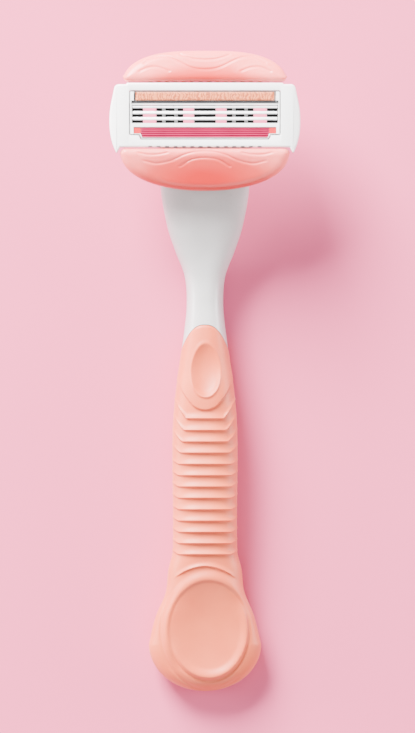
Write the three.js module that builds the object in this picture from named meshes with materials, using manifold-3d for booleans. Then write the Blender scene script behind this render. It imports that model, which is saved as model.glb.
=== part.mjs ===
// Cartridge razor with a pivoting three-blade head between two flexing gel bars.
// Millimetres, +Z up. The razor lies on its back: X runs across it, +Y toward the head, and the blades
// face +Z. The origin is on the surface it lies on, under the middle of its length and width.
import * as THREE from 'three';
import { mergeVertices } from 'three/addons/utils/BufferGeometryUtils.js';
import Module from 'manifold-3d';

const wasm = await Module();
wasm.setup();

// ---- Driving dimensions ----
const GAP = 0.3; // clearance between neighbouring pieces
const WELD = 0.06; // what a weld or a bond line leaves between two pieces

// Handle, stations counted along its length from the paddle's tip
const PADDLE_LENGTH = 33; // round end and its run into the grip
const PADDLE_HALF_WIDTH = 13.2;
const PADDLE_ROUND = 11; // length of the half-ellipse at the tip
const RIBBED_LENGTH = 28; // parallel stretch of the grip
const GRIP_HALF_WIDTH = 7.6;
const TAPER_LENGTH = 30; // grip down to the waist
const WAIST_HALF_WIDTH = 4.3;
const NECK_LENGTH = 31.9; // waist to the cartridge dock
const NECK_HALF_WIDTH = 10.4;
const SKIN = 1.5; // elastomer thickness at the grip's sides and back
const FRONT_SKIN = 2.6; // elastomer thickness under the dimple and the dish
const ARCH_RISE = 5.5; // height of the arch that ends the elastomer
const EDGE_ROUND = 5; // roll of the paddle's tip from front to back
const SQUARENESS = 2.5; // section is a superellipse, 2 being an ellipse
const CORE_START = 3; // the core's tip inside the paddle
const DIMPLE = { halfWidth: 3.4, halfLength: 6.5, depth: 1.1 };
const DISH = { halfWidth: 9, halfLength: 11, depth: 1.4 };

// Head. Its own frame has z = 0 on the frame's face and y = 0 at the middle of the window
const FACE_HEIGHT = 25; // face above the surface that the razor lies on
const WINDOW_HALF_LENGTH = 17.7;
const END_CAP = 4.6; // width of the frame's bulging ends
const NOTCH = { step: 2.7, depth: 1 }; // lower part of the window, shorter by the step at each end
const TOP_RAIL = 1.8;
const BOTTOM_RAIL = 1.8;
const FRAME_DEPTH = 3.4;
const HOUSING_DEPTH = 3.5;
const TRAY_FLOOR = 0.6;
const SHOULDER_DROP = 1; // housing ends below the face, under the end caps
const BLADE_COUNT = 3;
const BLADE_PITCH = 1.4;
const BLADE_WIDTH = 0.85;
const BLADE_THICKNESS = 0.1;
const BLADE_TILT = THREE.MathUtils.degToRad(21.5);
const BLADE_TRAVEL = 0.25;
const LIP = 0.95; // housing wall between the guard and the open tray
const EDGE_LEAD = 0.75; // tray's lower edge to the first blade edge
const LAST_LAND = 1.05; // last blade edge to the tray's upper edge
const CAP_LAND = 0.75; // tray's upper edge to the lubricating strip
const EDGE_DROP = 0.45; // blade edges below the face
const FACE_DROP = 0.15; // housing and strip below the face
const GUARD_DROP = 0.25; // fin tips below the face
const SUPPORT_THICKNESS = 0.2;
const STRIP = { height: 1.9, depth: 1.5, endRoom: 1.55, rim: 0.4 };
const GUARD = { height: 2.45, depth: 1.3, endRoom: 1.1, rim: 0.45, fins: 5 };
const INNER_RINSE = { from: 2.6, width: 2.4 }; // see-through openings, each side of the middle
const OUTER_RINSE = { fromEnd: 3, width: 3 };
const UPPER_BAR = { endStep: 3.2, height: 7.4, swell: 0.62 };
const LOWER_BAR = { endStep: 2.5, height: 9.9, swell: 0.5 };
const HINGE_GAP = 0.5; // slot between the lower rail and its bar, where the hinge tabs show
const BAR_DEPTH = 4.2;
const BAR_CORNER = 2;
const BAR_BEVEL = 0.9;
const BAR_SLOPE = 0.2; // fall of a bar's face away from the rail
const CARRIER_THICKNESS = 0.8;
const UPSTAND = 0.6; // wall along the rail edge that carries the hinge tabs
const UPSTAND_TOP = -2.4;
const TAB_COUNT = 14;
const TAB_PITCH = 1.96;

// Pivot and drive
const PIVOT = { y: -1.35, z: -1 }; // in the head's frame
const HEAD_TILT = THREE.MathUtils.degToRad(40);
const BEARING_RADIUS = 4.2;
const SHOE_THICKNESS = 1.4;
const BEARING = { fromEnd: 9.9, width: 3 };
const DOCK_ANGLE = THREE.MathUtils.degToRad(20); // neck's rise toward the head
const PLUNGER_LEVER = 4.4; // plunger line below the pivot
const PLUNGER_REACH = 13; // dock's face to the pivot, along the plunger
const CAM_BACK = 1; // cam face behind the pivot at rest
const DOCK_HALF_THICKNESS = 3.4;
const FLANGE = { over: 2.2, under: 3.1 }; // the dock's flange, from the plunger's line
const YOKE_LENGTH = 5.7;
const YOKE_WALL = { over: 0.8, under: 1.2 };
const TONGUE_HALF_WIDTH = 4.4;
const TONGUE_WALL = 0.4; // over and under the plunger's channel
const PLUNGER = { halfWidth: 1.6, halfHeight: 0.8, collar: 0.4 };
const FORK = { thickness: 0.7, prong: 1.5, tail: -13, bar: 1.6, tip: -3.5 };
const SPRING = { radius: 1.15, wire: 0.36, turns: 7, length: 10.4 };
const BUTTON = { halfWidth: 2.8, length: 8, travel: 3, behindFork: 3, gap: 0.35 };
const BUTTON_FACE = { drop: -5.5, ribs: 5, ribHeight: 0.4, slope: 0.1 }; // the face rises toward the head

// ---- Places worked out from them ----
const HANDLE_LENGTH = PADDLE_LENGTH + RIBBED_LENGTH + TAPER_LENGTH + NECK_LENGTH;
const GRIP_TOP = PADDLE_LENGTH + RIBBED_LENGTH;
const WAIST = GRIP_TOP + TAPER_LENGTH;
const DIMPLE_Y = GRIP_TOP + 14;
const ARCH_SIDE = WAIST - 10.5;
const TRAY_HEIGHT = EDGE_LEAD + (BLADE_COUNT - 1) * BLADE_PITCH + LAST_LAND;
const WINDOW_HEIGHT = GUARD.rim + GUARD.height + LIP + TRAY_HEIGHT + CAP_LAND + STRIP.height + STRIP.rim;
const WINDOW_TOP = WINDOW_HEIGHT / 2;
const WINDOW_BOTTOM = -WINDOW_HEIGHT / 2;
const WIDE_BOTTOM = WINDOW_BOTTOM + NOTCH.depth;
const GUARD_LOW = WINDOW_BOTTOM + GUARD.rim;
const GUARD_HIGH = GUARD_LOW + GUARD.height;
const TRAY_LOW = GUARD_HIGH + LIP;
const TRAY_HIGH = TRAY_LOW + TRAY_HEIGHT;
const STRIP_LOW = TRAY_HIGH + CAP_LAND;
const RAIL_TOP = WINDOW_TOP + TOP_RAIL;
const RAIL_BOTTOM = WINDOW_BOTTOM - BOTTOM_RAIL;
const HEAD_HALF_LENGTH = WINDOW_HALF_LENGTH + END_CAP;
const HOUSING_HALF = WINDOW_HALF_LENGTH - GAP;
const SHOULDER_HALF = HOUSING_HALF + 1.2;
const RINSE_WINDOWS = [
  [INNER_RINSE.from, INNER_RINSE.from + INNER_RINSE.width],
  [HOUSING_HALF - OUTER_RINSE.fromEnd - OUTER_RINSE.width, HOUSING_HALF - OUTER_RINSE.fromEnd],
];
const BEARING_X = [HOUSING_HALF - BEARING.fromEnd, HOUSING_HALF - BEARING.fromEnd + BEARING.width];
const TONGUE_HALF_HEIGHT = PLUNGER.halfHeight + GAP + TONGUE_WALL;
const FORK_OVER = TONGUE_HALF_HEIGHT + 0.4; // the fork's top face, below the plunger's line
const FORK_UNDER = FORK_OVER + FORK.thickness;
const FORK_INNER = TONGUE_HALF_WIDTH + 0.6;
const FORK_OUTER = FORK_INNER + FORK.prong;
const YOKE_OVER = TONGUE_HALF_HEIGHT + YOKE_WALL.over;
const YOKE_UNDER = TONGUE_HALF_HEIGHT + YOKE_WALL.under;
const YOKE_HALF_WIDTH = BEARING_X[1] + 0.2;
const PLUNGER_Y = PLUNGER_REACH * Math.cos(DOCK_ANGLE) - PLUNGER_LEVER * Math.sin(DOCK_ANGLE);
const PLUNGER_Z = PLUNGER_REACH * Math.sin(DOCK_ANGLE) + PLUNGER_LEVER * Math.cos(DOCK_ANGLE);
const HEAD_Y = HANDLE_LENGTH + PLUNGER_Y - PIVOT.y;
const DOCK_Z = FACE_HEIGHT + PIVOT.z - PLUNGER_Z;
const OVERALL_LENGTH = HEAD_Y + RAIL_TOP + GAP + UPPER_BAR.height;
const NECK_END = -3.3; // end of the white core, behind the dock's face
const BOSS_TAIL = -9; // end of the dock's boss inside the core
const SPRING_SEAT = BOSS_TAIL - PLUNGER.collar * 2 - 2 * GAP;
const BUTTON_TAIL = FORK.tail - BUTTON.behindFork;

// ---- Solids ----
function solid(geometry) {
  const bare = geometry.index ? geometry.toNonIndexed() : geometry.clone();
  bare.deleteAttribute('normal');
  bare.deleteAttribute('uv');
  const merged = mergeVertices(bare, 1e-4);
  const vertProperties = new Float32Array(merged.attributes.position.array);
  const triVerts = new Uint32Array(merged.index.array);
  return new wasm.Manifold(new wasm.Mesh({ numProp: 3, vertProperties, triVerts }));
}

function geometryOf(manifold) {
  const mesh = manifold.getMesh();
  const geometry = new THREE.BufferGeometry();
  geometry.setAttribute('position', new THREE.BufferAttribute(new Float32Array(mesh.vertProperties), 3));
  geometry.setIndex(new THREE.BufferAttribute(new Uint32Array(mesh.triVerts), 1));
  geometry.computeVertexNormals();
  return geometry;
}

function cut(body, ...tools) {
  return geometryOf(tools.reduce((left, tool) => left.subtract(solid(tool)), solid(body)));
}

function join(body, ...others) {
  return geometryOf(others.reduce((whole, other) => whole.add(solid(other)), solid(body)));
}

function common(body, other) {
  return geometryOf(solid(body).intersect(solid(other)));
}

function box(x0, x1, y0, y1, z0, z1) {
  const geometry = new THREE.BoxGeometry(x1 - x0, y1 - y0, z1 - z0);
  return geometry.translate((x0 + x1) / 2, (y0 + y1) / 2, (z0 + z1) / 2);
}

// The same box on both sides of the middle plane
function pair(x0, x1, y0, y1, z0, z1) {
  return [box(x0, x1, y0, y1, z0, z1), box(-x1, -x0, y0, y1, z0, z1)];
}

function plate(shape, z0, z1, bevel = 0) {
  const geometry = new THREE.ExtrudeGeometry(shape, {
    depth: z1 - z0 - 2 * bevel,
    bevelEnabled: bevel > 0,
    bevelThickness: bevel,
    bevelSize: bevel,
    bevelOffset: -bevel,
    bevelSegments: 3,
    curveSegments: 10,
  });
  return geometry.translate(0, 0, z0 + bevel);
}

// A shape drawn in (y, z) and extruded across from x0 to x1
function across(shape, x0, x1) {
  const geometry = new THREE.ExtrudeGeometry(shape, {
    depth: x1 - x0,
    bevelEnabled: false,
    curveSegments: 12,
  });
  const turn = new THREE.Matrix4().makeBasis(
    new THREE.Vector3(0, 1, 0),
    new THREE.Vector3(0, 0, 1),
    new THREE.Vector3(1, 0, 0),
  );
  return geometry.applyMatrix4(turn).translate(x0, 0, 0);
}

function outline(points) {
  return new THREE.Shape(points.map(([x, y]) => new THREE.Vector2(x, y)));
}

// The right-hand half of an outline from top to bottom, and its mirror image
function mirrored(points) {
  const left = points.map(([x, y]) => [-x, y]).reverse();
  return outline([...points, ...left].filter(([x], i, all) => i === 0 || x !== 0 || all[i - 1][0] !== 0));
}

// ---- Handle ----
// A smooth curve through (station, value) points
function curveThrough(points) {
  const slope = points.map((point, i) => {
    const before = points[Math.max(i - 1, 0)];
    const after = points[Math.min(i + 1, points.length - 1)];
    return (after[1] - before[1]) / (after[0] - before[0]);
  });
  return (s) => {
    let i = 0;
    while (i < points.length - 2 && s > points[i + 1][0]) i += 1;
    const [s0, v0] = points[i];
    const [s1, v1] = points[i + 1];
    const run = s1 - s0;
    const t = THREE.MathUtils.clamp((s - s0) / run, 0, 1);
    const rise = 3 * t * t - 2 * t * t * t;
    const startBend = (t * t * t - 2 * t * t + t) * run * slope[i];
    const endBend = (t * t * t - t * t) * run * slope[i + 1];
    return v0 + (v1 - v0) * rise + startBend + endBend;
  };
}

const sideCurve = curveThrough([
  [PADDLE_ROUND, PADDLE_HALF_WIDTH],
  [PADDLE_ROUND + 6.5, PADDLE_HALF_WIDTH - 1.6],
  [PADDLE_LENGTH - 10, GRIP_HALF_WIDTH + 1.7],
  [PADDLE_LENGTH - 4.3, GRIP_HALF_WIDTH + 1],
  [PADDLE_LENGTH, GRIP_HALF_WIDTH],
  [GRIP_TOP, GRIP_HALF_WIDTH],
  [GRIP_TOP + 11, GRIP_HALF_WIDTH - 0.9],
  [WAIST - 7.4, WAIST_HALF_WIDTH + 0.7],
  [WAIST, WAIST_HALF_WIDTH],
  [WAIST + 6.6, WAIST_HALF_WIDTH + 0.5],
  [WAIST + 12.2, WAIST_HALF_WIDTH + 2.6],
  [WAIST + 18, NECK_HALF_WIDTH - 1.6],
  [WAIST + 26.3, NECK_HALF_WIDTH - 0.1],
  [HANDLE_LENGTH, NECK_HALF_WIDTH],
]);
const frontCurve = curveThrough([
  [0, 8.2],
  [PADDLE_ROUND, 9.6],
  [PADDLE_LENGTH, 11.9],
  [PADDLE_LENGTH + 22, 13],
  [GRIP_TOP + 9, 13.2],
  [WAIST - 8, 12.2],
  [WAIST + 1, 11.4],
  [WAIST + 9, 12],
  [HANDLE_LENGTH - 14.9, DOCK_Z - 1.2],
  [HANDLE_LENGTH - 8.9, DOCK_Z + 0.6],
  [HANDLE_LENGTH, DOCK_Z + DOCK_HALF_THICKNESS - 1],
]);
const backCurve = curveThrough([
  [0, -0.2],
  [6, -0.5],
  [20, -0.5],
  [PADDLE_LENGTH - 7, 0.2],
  [PADDLE_LENGTH + 5, 1.3],
  [PADDLE_LENGTH + 22, 1.6],
  [GRIP_TOP + 9, 1],
  [WAIST - 9, 0.1],
  [WAIST - 2, -0.35],
  [WAIST + 4, -0.2],
  [WAIST + 10, 1.6],
  [HANDLE_LENGTH - 14.9, 5],
  [HANDLE_LENGTH - 8.9, DOCK_Z - DOCK_HALF_THICKNESS - 4],
  [HANDLE_LENGTH, DOCK_Z - DOCK_HALF_THICKNESS - 0.4],
]);

function halfWidthAt(s) {
  if (s >= PADDLE_ROUND) return sideCurve(s);
  const off = (PADDLE_ROUND - s) / PADDLE_ROUND;
  return PADDLE_HALF_WIDTH * Math.sqrt(Math.max(1 - off * off, 0));
}

// A circle's share of the way out, squared up a little
const bulge = (value) => Math.sign(value) * Math.abs(value) ** (2 / SQUARENESS);

// The handle's own outer form, drawn in by these skins
function handleForm(start, end, side, front, back, pitch) {
  const sides = 28;
  const stations = [start];
  const tip = start + PADDLE_ROUND;
  const tipSteps = 6;
  for (let i = 1; i <= tipSteps; i += 1) {
    stations.push(start + (tip - start) * (1 - Math.cos((i / tipSteps) * Math.PI / 2)));
  }
  const steps = Math.round((end - tip) / pitch);
  for (let i = 1; i <= steps; i += 1) stations.push(tip + ((end - tip) * i) / steps);
  const rings = stations.length - 1;
  const geometry = new THREE.CylinderGeometry(1, 1, 1, sides, rings);
  const place = geometry.attributes.position;
  for (let i = 0; i < place.count; i += 1) {
    const s = stations[Math.round((place.getY(i) + 0.5) * rings)];
    const fromTip = Math.max(s - start, 0.02);
    const rollOff = Math.max(1 - fromTip / EDGE_ROUND, 0);
    const round = Math.sqrt(1 - rollOff * rollOff);
    const top = frontCurve(s) - front;
    const bottom = backCurve(s) + back;
    const tall = ((top - bottom) / 2) * round;
    const wide = Math.max(start > 0 ? halfWidthAt(s) - side : halfWidthAt(fromTip), 0.3);
    const angle = Math.atan2(place.getZ(i), place.getX(i));
    const reach = Math.hypot(place.getX(i), place.getZ(i)) > 0.5 ? 1 : 0;
    const x = bulge(Math.cos(angle)) * wide * reach;
    const z = (top + bottom) / 2 + bulge(Math.sin(angle)) * tall * reach;
    place.setXYZ(i, x, s, z);
  }
  return geometry;
}

// Everything above the arch that ends the elastomer, moved up or down by an offset
function aboveArch(offset) {
  const half = 40;
  const low = ARCH_SIDE + offset;
  const shape = new THREE.Shape();
  shape.moveTo(half, low - 20);
  shape.lineTo(half, HANDLE_LENGTH + 40);
  shape.lineTo(-half, HANDLE_LENGTH + 40);
  shape.lineTo(-half, low - 20);
  shape.lineTo(-GRIP_HALF_WIDTH, low - 3);
  shape.quadraticCurveTo(-WAIST_HALF_WIDTH * 0.75, low + ARCH_RISE, 0, low + ARCH_RISE);
  shape.quadraticCurveTo(WAIST_HALF_WIDTH * 0.75, low + ARCH_RISE, GRIP_HALF_WIDTH, low - 3);
  return plate(shape, -10, 40);
}

function hollow(y, z, size) {
  const spread = 1.1;
  const ball = new THREE.SphereGeometry(1, 24, 12);
  ball.scale(size.halfWidth * spread, size.halfLength * spread, size.depth * 1.4);
  return ball.translate(0, y, z + size.depth * 0.4);
}

// Turns and moves a geometry from the dock's frame (y along the plunger) into the handle's
function fromDock(geometry) {
  return geometry.rotateX(DOCK_ANGLE).translate(0, HANDLE_LENGTH, DOCK_Z);
}

const ABOVE_SURFACE = box(-40, 40, -10, 200, 0, 60);

function gripOvermould() {
  const skin = handleForm(0, WAIST + 6, 0, 0, 0, 2.6);
  const inside = handleForm(CORE_START - GAP, WAIST + 10, SKIN - GAP, FRONT_SKIN - GAP, SKIN - GAP, 3.2);
  const dimple = hollow(DIMPLE_Y, frontCurve(DIMPLE_Y), DIMPLE);
  const dishY = PADDLE_ROUND + 3.4;
  const dish = hollow(dishY, frontCurve(dishY), DISH);
  return common(cut(skin, inside, dimple, dish, aboveArch(-GAP / 2)), ABOVE_SURFACE);
}

function handleCore() {
  const buried = handleForm(CORE_START, WAIST + 8, SKIN, FRONT_SKIN, SKIN, 3.2);
  const bare = common(handleForm(0, HANDLE_LENGTH + 4, 0, 0, 0, 2.6), aboveArch(GAP / 2));
  const beyondEnd = fromDock(box(-30, 30, NECK_END, 40, -30, 30));
  const bossRoom = fromDock(box(
    -TONGUE_HALF_WIDTH - GAP, TONGUE_HALF_WIDTH + GAP, BOSS_TAIL - GAP, 0,
    -TONGUE_HALF_HEIGHT - GAP, TONGUE_HALF_HEIGHT + GAP,
  ));
  const forkRoom = fromDock(box(
    -FORK_OUTER - GAP, FORK_OUTER + GAP, FORK.tail - GAP, 0,
    -FORK_UNDER - GAP, -FORK_OVER + GAP,
  ));
  const bore = SPRING.radius + SPRING.wire / 2 + GAP;
  const springRoom = fromDock(box(
    -bore - 0.4, bore + 0.4, SPRING_SEAT - SPRING.length - GAP, BOSS_TAIL, -bore, bore,
  ));
  const buttonRoom = fromDock(box(
    -BUTTON.halfWidth - GAP, BUTTON.halfWidth + GAP,
    BUTTON_TAIL - GAP, BUTTON_TAIL + BUTTON.length + BUTTON.travel + GAP,
    -9, -FORK_OVER + GAP,
  ));
  const core = cut(join(buried, bare), beyondEnd, bossRoom, forkRoom, springRoom, buttonRoom);
  return common(core, ABOVE_SURFACE);
}

// Flange on the neck's end, tongue that carries the yoke, and a hollow boss that guides the plunger
function dock() {
  const flange = box(
    -NECK_HALF_WIDTH + 1, NECK_HALF_WIDTH - 1, NECK_END + GAP, 0, -FLANGE.under, FLANGE.over,
  );
  const tongue = box(
    -TONGUE_HALF_WIDTH, TONGUE_HALF_WIDTH, BOSS_TAIL, YOKE_LENGTH + GAP,
    -TONGUE_HALF_HEIGHT, TONGUE_HALF_HEIGHT,
  );
  const guide = box(
    -PLUNGER.halfWidth - GAP, PLUNGER.halfWidth + GAP, BOSS_TAIL - 1, YOKE_LENGTH + 1,
    -PLUNGER.halfHeight - GAP, PLUNGER.halfHeight + GAP,
  );
  const slots = pair(
    FORK_INNER - GAP, FORK_OUTER + GAP, NECK_END, GAP, -FORK_UNDER - GAP / 2, -FORK_OVER + GAP,
  );
  return fromDock(cut(join(flange, tongue), guide, ...slots));
}

// Flat bar whose collar is held behind the dock's boss
function plunger() {
  const tip = PLUNGER_REACH - CAM_BACK - GAP;
  const bar = box(
    -PLUNGER.halfWidth, PLUNGER.halfWidth, SPRING_SEAT + GAP, tip, -PLUNGER.halfHeight, PLUNGER.halfHeight,
  );
  const collar = box(
    -PLUNGER.halfWidth - PLUNGER.collar, PLUNGER.halfWidth + PLUNGER.collar,
    SPRING_SEAT + GAP, BOSS_TAIL - GAP,
    -PLUNGER.halfHeight - PLUNGER.collar, PLUNGER.halfHeight + PLUNGER.collar,
  );
  return fromDock(join(bar, collar));
}

class Helix extends THREE.Curve {
  getPoint(t, target = new THREE.Vector3()) {
    const angle = t * SPRING.turns * 2 * Math.PI;
    const y = -(SPRING.wire / 2) - t * (SPRING.length - SPRING.wire);
    return target.set(SPRING.radius * Math.cos(angle), y, SPRING.radius * Math.sin(angle));
  }
}

function plungerSpring() {
  const wire = new THREE.Shape();
  wire.absarc(0, 0, SPRING.wire / 2, 0, 2 * Math.PI);
  const coil = new THREE.ExtrudeGeometry(wire, {
    steps: SPRING.turns * 12,
    extrudePath: new Helix(),
    bevelEnabled: false,
    curveSegments: 3,
  });
  return fromDock(coil.translate(0, SPRING_SEAT, 0));
}

// Two prongs that push the yoke off, joined behind by a bar over the button
function ejectorFork() {
  const prongs = pair(FORK_INNER, FORK_OUTER, FORK.tail, FORK.tip, -FORK_UNDER, -FORK_OVER);
  const bar = box(-FORK_OUTER, FORK_OUTER, FORK.tail, FORK.tail + FORK.bar, -FORK_UNDER, -FORK_OVER);
  return fromDock(join(bar, ...prongs));
}

// Ribbed thumb pad that stands just proud of the neck's back
function releaseButton() {
  const { drop, ribs, ribHeight, slope } = BUTTON_FACE;
  const top = -FORK_UNDER - BUTTON.gap;
  const step = BUTTON.length / ribs;
  const shape = new THREE.Shape();
  shape.moveTo(BUTTON_TAIL, top);
  shape.lineTo(BUTTON_TAIL, drop);
  for (let i = 0; i < ribs; i += 1) {
    const y = BUTTON_TAIL + step * i;
    const z = drop + slope * step * i;
    shape.lineTo(y + step * 0.3, z);
    shape.lineTo(y + step * 0.5, z + ribHeight);
    shape.lineTo(y + step, z + slope * step);
  }
  shape.lineTo(BUTTON_TAIL + BUTTON.length, top);
  return fromDock(across(shape, -BUTTON.halfWidth, BUTTON.halfWidth));
}

// ---- Head, in its own frame ----
function outerFrame() {
  const cap = HEAD_HALF_LENGTH;
  const widest = WINDOW_BOTTOM / 4;
  const side = new THREE.Path();
  side.moveTo(cap - 2.6, RAIL_TOP);
  side.quadraticCurveTo(cap - 1.3, RAIL_TOP - 0.3, cap - 1.1, RAIL_TOP - 1.2);
  side.bezierCurveTo(cap - 0.6, WINDOW_TOP * 0.6, cap, WINDOW_TOP * 0.35, cap, widest);
  side.bezierCurveTo(cap, WINDOW_BOTTOM * 0.75, cap - 0.6, RAIL_BOTTOM + 1, cap - 1.8, RAIL_BOTTOM - 1);
  side.lineTo(cap - 2.5, RAIL_BOTTOM);
  const right = side.getPoints(10).map(({ x, y }) => [x, y]);
  const body = plate(mirrored(right), -FRAME_DEPTH, 0, 0.45);
  const endRoom = pair(
    WINDOW_HALF_LENGTH - 1, SHOULDER_HALF + GAP, WIDE_BOTTOM, WINDOW_TOP,
    -FRAME_DEPTH - 1, -SHOULDER_DROP + GAP,
  );
  return cut(body, plate(windowShape(0), -FRAME_DEPTH - 1, 1), ...endRoom);
}

// The window with its narrower lower part, drawn in all round by an inset
function windowShape(inset) {
  const notch = WINDOW_HALF_LENGTH - NOTCH.step;
  return mirrored([
    [WINDOW_HALF_LENGTH - inset, WINDOW_TOP - inset],
    [WINDOW_HALF_LENGTH - inset, WIDE_BOTTOM + inset],
    [notch + 0.5 - inset, WIDE_BOTTOM + inset],
    [notch - inset, WINDOW_BOTTOM + inset],
  ]);
}

const edgeY = (i) => TRAY_LOW + EDGE_LEAD + i * BLADE_PITCH; // i counts from the guard

function bladeHousing() {
  const half = HOUSING_HALF;
  const base = box(
    -SHOULDER_HALF, SHOULDER_HALF, WIDE_BOTTOM + GAP, WINDOW_TOP - GAP, -HOUSING_DEPTH, -SHOULDER_DROP,
  );
  const raised = plate(windowShape(GAP), -HOUSING_DEPTH + 1, -FACE_DROP);
  const well = box(-half + 0.3, half - 0.3, TRAY_LOW, TRAY_HIGH, -HOUSING_DEPTH + TRAY_FLOOR, 1);
  const supportSlots = box(
    -half - 0.5, half + 0.5, TRAY_LOW, TRAY_HIGH, -HOUSING_DEPTH + TRAY_FLOOR, -SHOULDER_DROP + 0.1,
  );
  const stripHalf = WINDOW_HALF_LENGTH - STRIP.endRoom + WELD;
  const stripRoom = box(
    -stripHalf, stripHalf, STRIP_LOW - WELD, STRIP_LOW + STRIP.height + WELD,
    -STRIP.depth - FACE_DROP - WELD, 1,
  );
  const guardRoom = plate(guardShape(WELD), -GUARD.depth - GUARD_DROP - WELD, 1);
  const rinse = RINSE_WINDOWS.flatMap(([x0, x1]) => pair(
    x0, x1, TRAY_LOW, TRAY_HIGH, -HOUSING_DEPTH - 1, 0,
  ));
  const ribs = [INNER_RINSE.from + 4.15, BEARING_X[1] - 0.9].flatMap((x) => pair(
    x - 0.4, x + 0.4, TRAY_LOW - 0.1, TRAY_HIGH + 0.1,
    -HOUSING_DEPTH + 0.1, -HOUSING_DEPTH + TRAY_FLOOR + 0.3,
  ));
  const tray = cut(join(base, raised), well, supportSlots, stripRoom, guardRoom, ...rinse);
  return join(tray, ...ribs, bearingDrum(1), bearingDrum(-1), cam());
}

// Part of a round drum about the pivot, which the yoke's shoe slides on
function bearingDrum(side) {
  const chord = PIVOT.z + HOUSING_DEPTH - 0.1; // buries the drum's flat in the tray
  const half = Math.acos(chord / BEARING_RADIUS);
  const shape = new THREE.Shape();
  shape.absarc(PIVOT.y, PIVOT.z, BEARING_RADIUS, -Math.PI / 2 - half, -Math.PI / 2 + half);
  const [x0, x1] = BEARING_X;
  const drum = side > 0 ? across(shape, x0, x1) : across(shape, -x1, -x0);
  const insideWindow = box(
    -WINDOW_HALF_LENGTH, WINDOW_HALF_LENGTH, WINDOW_BOTTOM + GAP, WINDOW_TOP - GAP,
    -HOUSING_DEPTH - BEARING_RADIUS, 0,
  );
  return common(drum, insideWindow);
}

// The lobe that the plunger bears on. Its face is an involute about the pivot, so the plunger goes back
// in proportion to the head's tilt
function cam() {
  const shape = new THREE.Shape();
  const floor = -HOUSING_DEPTH + 0.1;
  const rim = [];
  const steps = 8;
  for (let i = 0; i <= steps; i += 1) {
    const tilt = (i / steps) * HEAD_TILT * 1.1;
    const back = CAM_BACK + PLUNGER_LEVER * tilt;
    const angle = DOCK_ANGLE + tilt;
    rim.push([
      PIVOT.y - back * Math.cos(angle) + PLUNGER_LEVER * Math.sin(angle),
      PIVOT.z - back * Math.sin(angle) - PLUNGER_LEVER * Math.cos(angle),
    ]);
  }
  shape.moveTo(rim[0][0] + 0.6, floor);
  rim.forEach(([y, z]) => shape.lineTo(y, z));
  shape.lineTo(rim[steps][0] + 2.4, rim[steps][1] + 0.8);
  shape.lineTo(rim[steps][0] + 3, floor);
  return across(shape, -PLUNGER.halfWidth - 0.4, PLUNGER.halfWidth + 0.4);
}

function blade(i) {
  const strip = box(
    -HOUSING_HALF + 0.5, HOUSING_HALF - 0.5, 0, BLADE_WIDTH, -BLADE_THICKNESS, 0,
  );
  return strip.rotateX(-BLADE_TILT).translate(0, edgeY(i), -EDGE_DROP);
}

// Bent strip under a blade: a flange along the blade and a windowed leg down into the tray
function bladeSupport(i) {
  const start = 0.25;
  const under = BLADE_THICKNESS + WELD;
  const half = HOUSING_HALF + 0.2;
  const shape = outline([
    [start, -under],
    [start, -under - SUPPORT_THICKNESS],
    [BLADE_WIDTH, -under - SUPPORT_THICKNESS],
    [BLADE_WIDTH + SUPPORT_THICKNESS, -under],
  ]);
  const flange = across(shape, -half + 0.9, half - 0.9).rotateX(-BLADE_TILT);
  const legY = BLADE_WIDTH * Math.cos(BLADE_TILT) - 0.12;
  const legTop = -BLADE_WIDTH * Math.sin(BLADE_TILT) - under - 0.1;
  const legBottom = -HOUSING_DEPTH + TRAY_FLOOR + BLADE_TRAVEL + GAP + EDGE_DROP;
  const leg = box(-half, half, legY - SUPPORT_THICKNESS / 2, legY + SUPPORT_THICKNESS / 2, legBottom, legTop);
  const holes = RINSE_WINDOWS.flatMap(([x0, x1]) => pair(
    x0, x1, legY - 1, legY + 1, legBottom + 0.25, legTop - 0.35,
  ));
  return cut(join(flange, leg), ...holes).translate(0, edgeY(i), -EDGE_DROP);
}

function lubricatingStrip() {
  const half = WINDOW_HALF_LENGTH - STRIP.endRoom;
  return box(-half, half, STRIP_LOW, STRIP_LOW + STRIP.height, -FACE_DROP - STRIP.depth, -FACE_DROP);
}

// The guard follows the window's outline inside the housing's rim
function guardShape(grow) {
  const half = WINDOW_HALF_LENGTH - GUARD.endRoom + grow;
  const narrow = WINDOW_HALF_LENGTH - NOTCH.step - GUARD.rim + grow;
  const step = WIDE_BOTTOM + GUARD.rim - grow;
  return mirrored([
    [half, GUARD_HIGH + grow],
    [half, step],
    [narrow + 0.4, step],
    [narrow, GUARD_LOW - grow],
  ]);
}

function guardFins() {
  const slab = plate(guardShape(0), -GUARD_DROP - GUARD.depth, -GUARD_DROP);
  const step = GUARD.height / GUARD.fins;
  const grooves = [];
  for (let i = 1; i < GUARD.fins; i += 1) {
    const y = GUARD_LOW + step * i;
    const vee = outline([[y - step / 3, 0.2], [y, -0.8], [y + step / 3, 0.2]]);
    grooves.push(across(vee, -WINDOW_HALF_LENGTH, WINDOW_HALF_LENGTH));
  }
  return cut(slab, ...grooves);
}

// Half outline of a bar, straight along the rail and swelling to a low arc outside
function barShape(bar, inset) {
  const half = HEAD_HALF_LENGTH - bar.endStep - inset;
  const height = bar.height - inset;
  const shape = new THREE.Shape();
  shape.moveTo(0, inset);
  shape.lineTo(half - BAR_CORNER, inset);
  shape.quadraticCurveTo(half, inset, half, inset + BAR_CORNER);
  shape.bezierCurveTo(half, height * 0.6, half * bar.swell, height, 0, height);
  shape.bezierCurveTo(-half * bar.swell, height, -half, height * 0.6, -half, inset + BAR_CORNER);
  shape.quadraticCurveTo(-half, inset, -half + BAR_CORNER, inset);
  shape.lineTo(0, inset);
  return shape;
}

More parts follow.
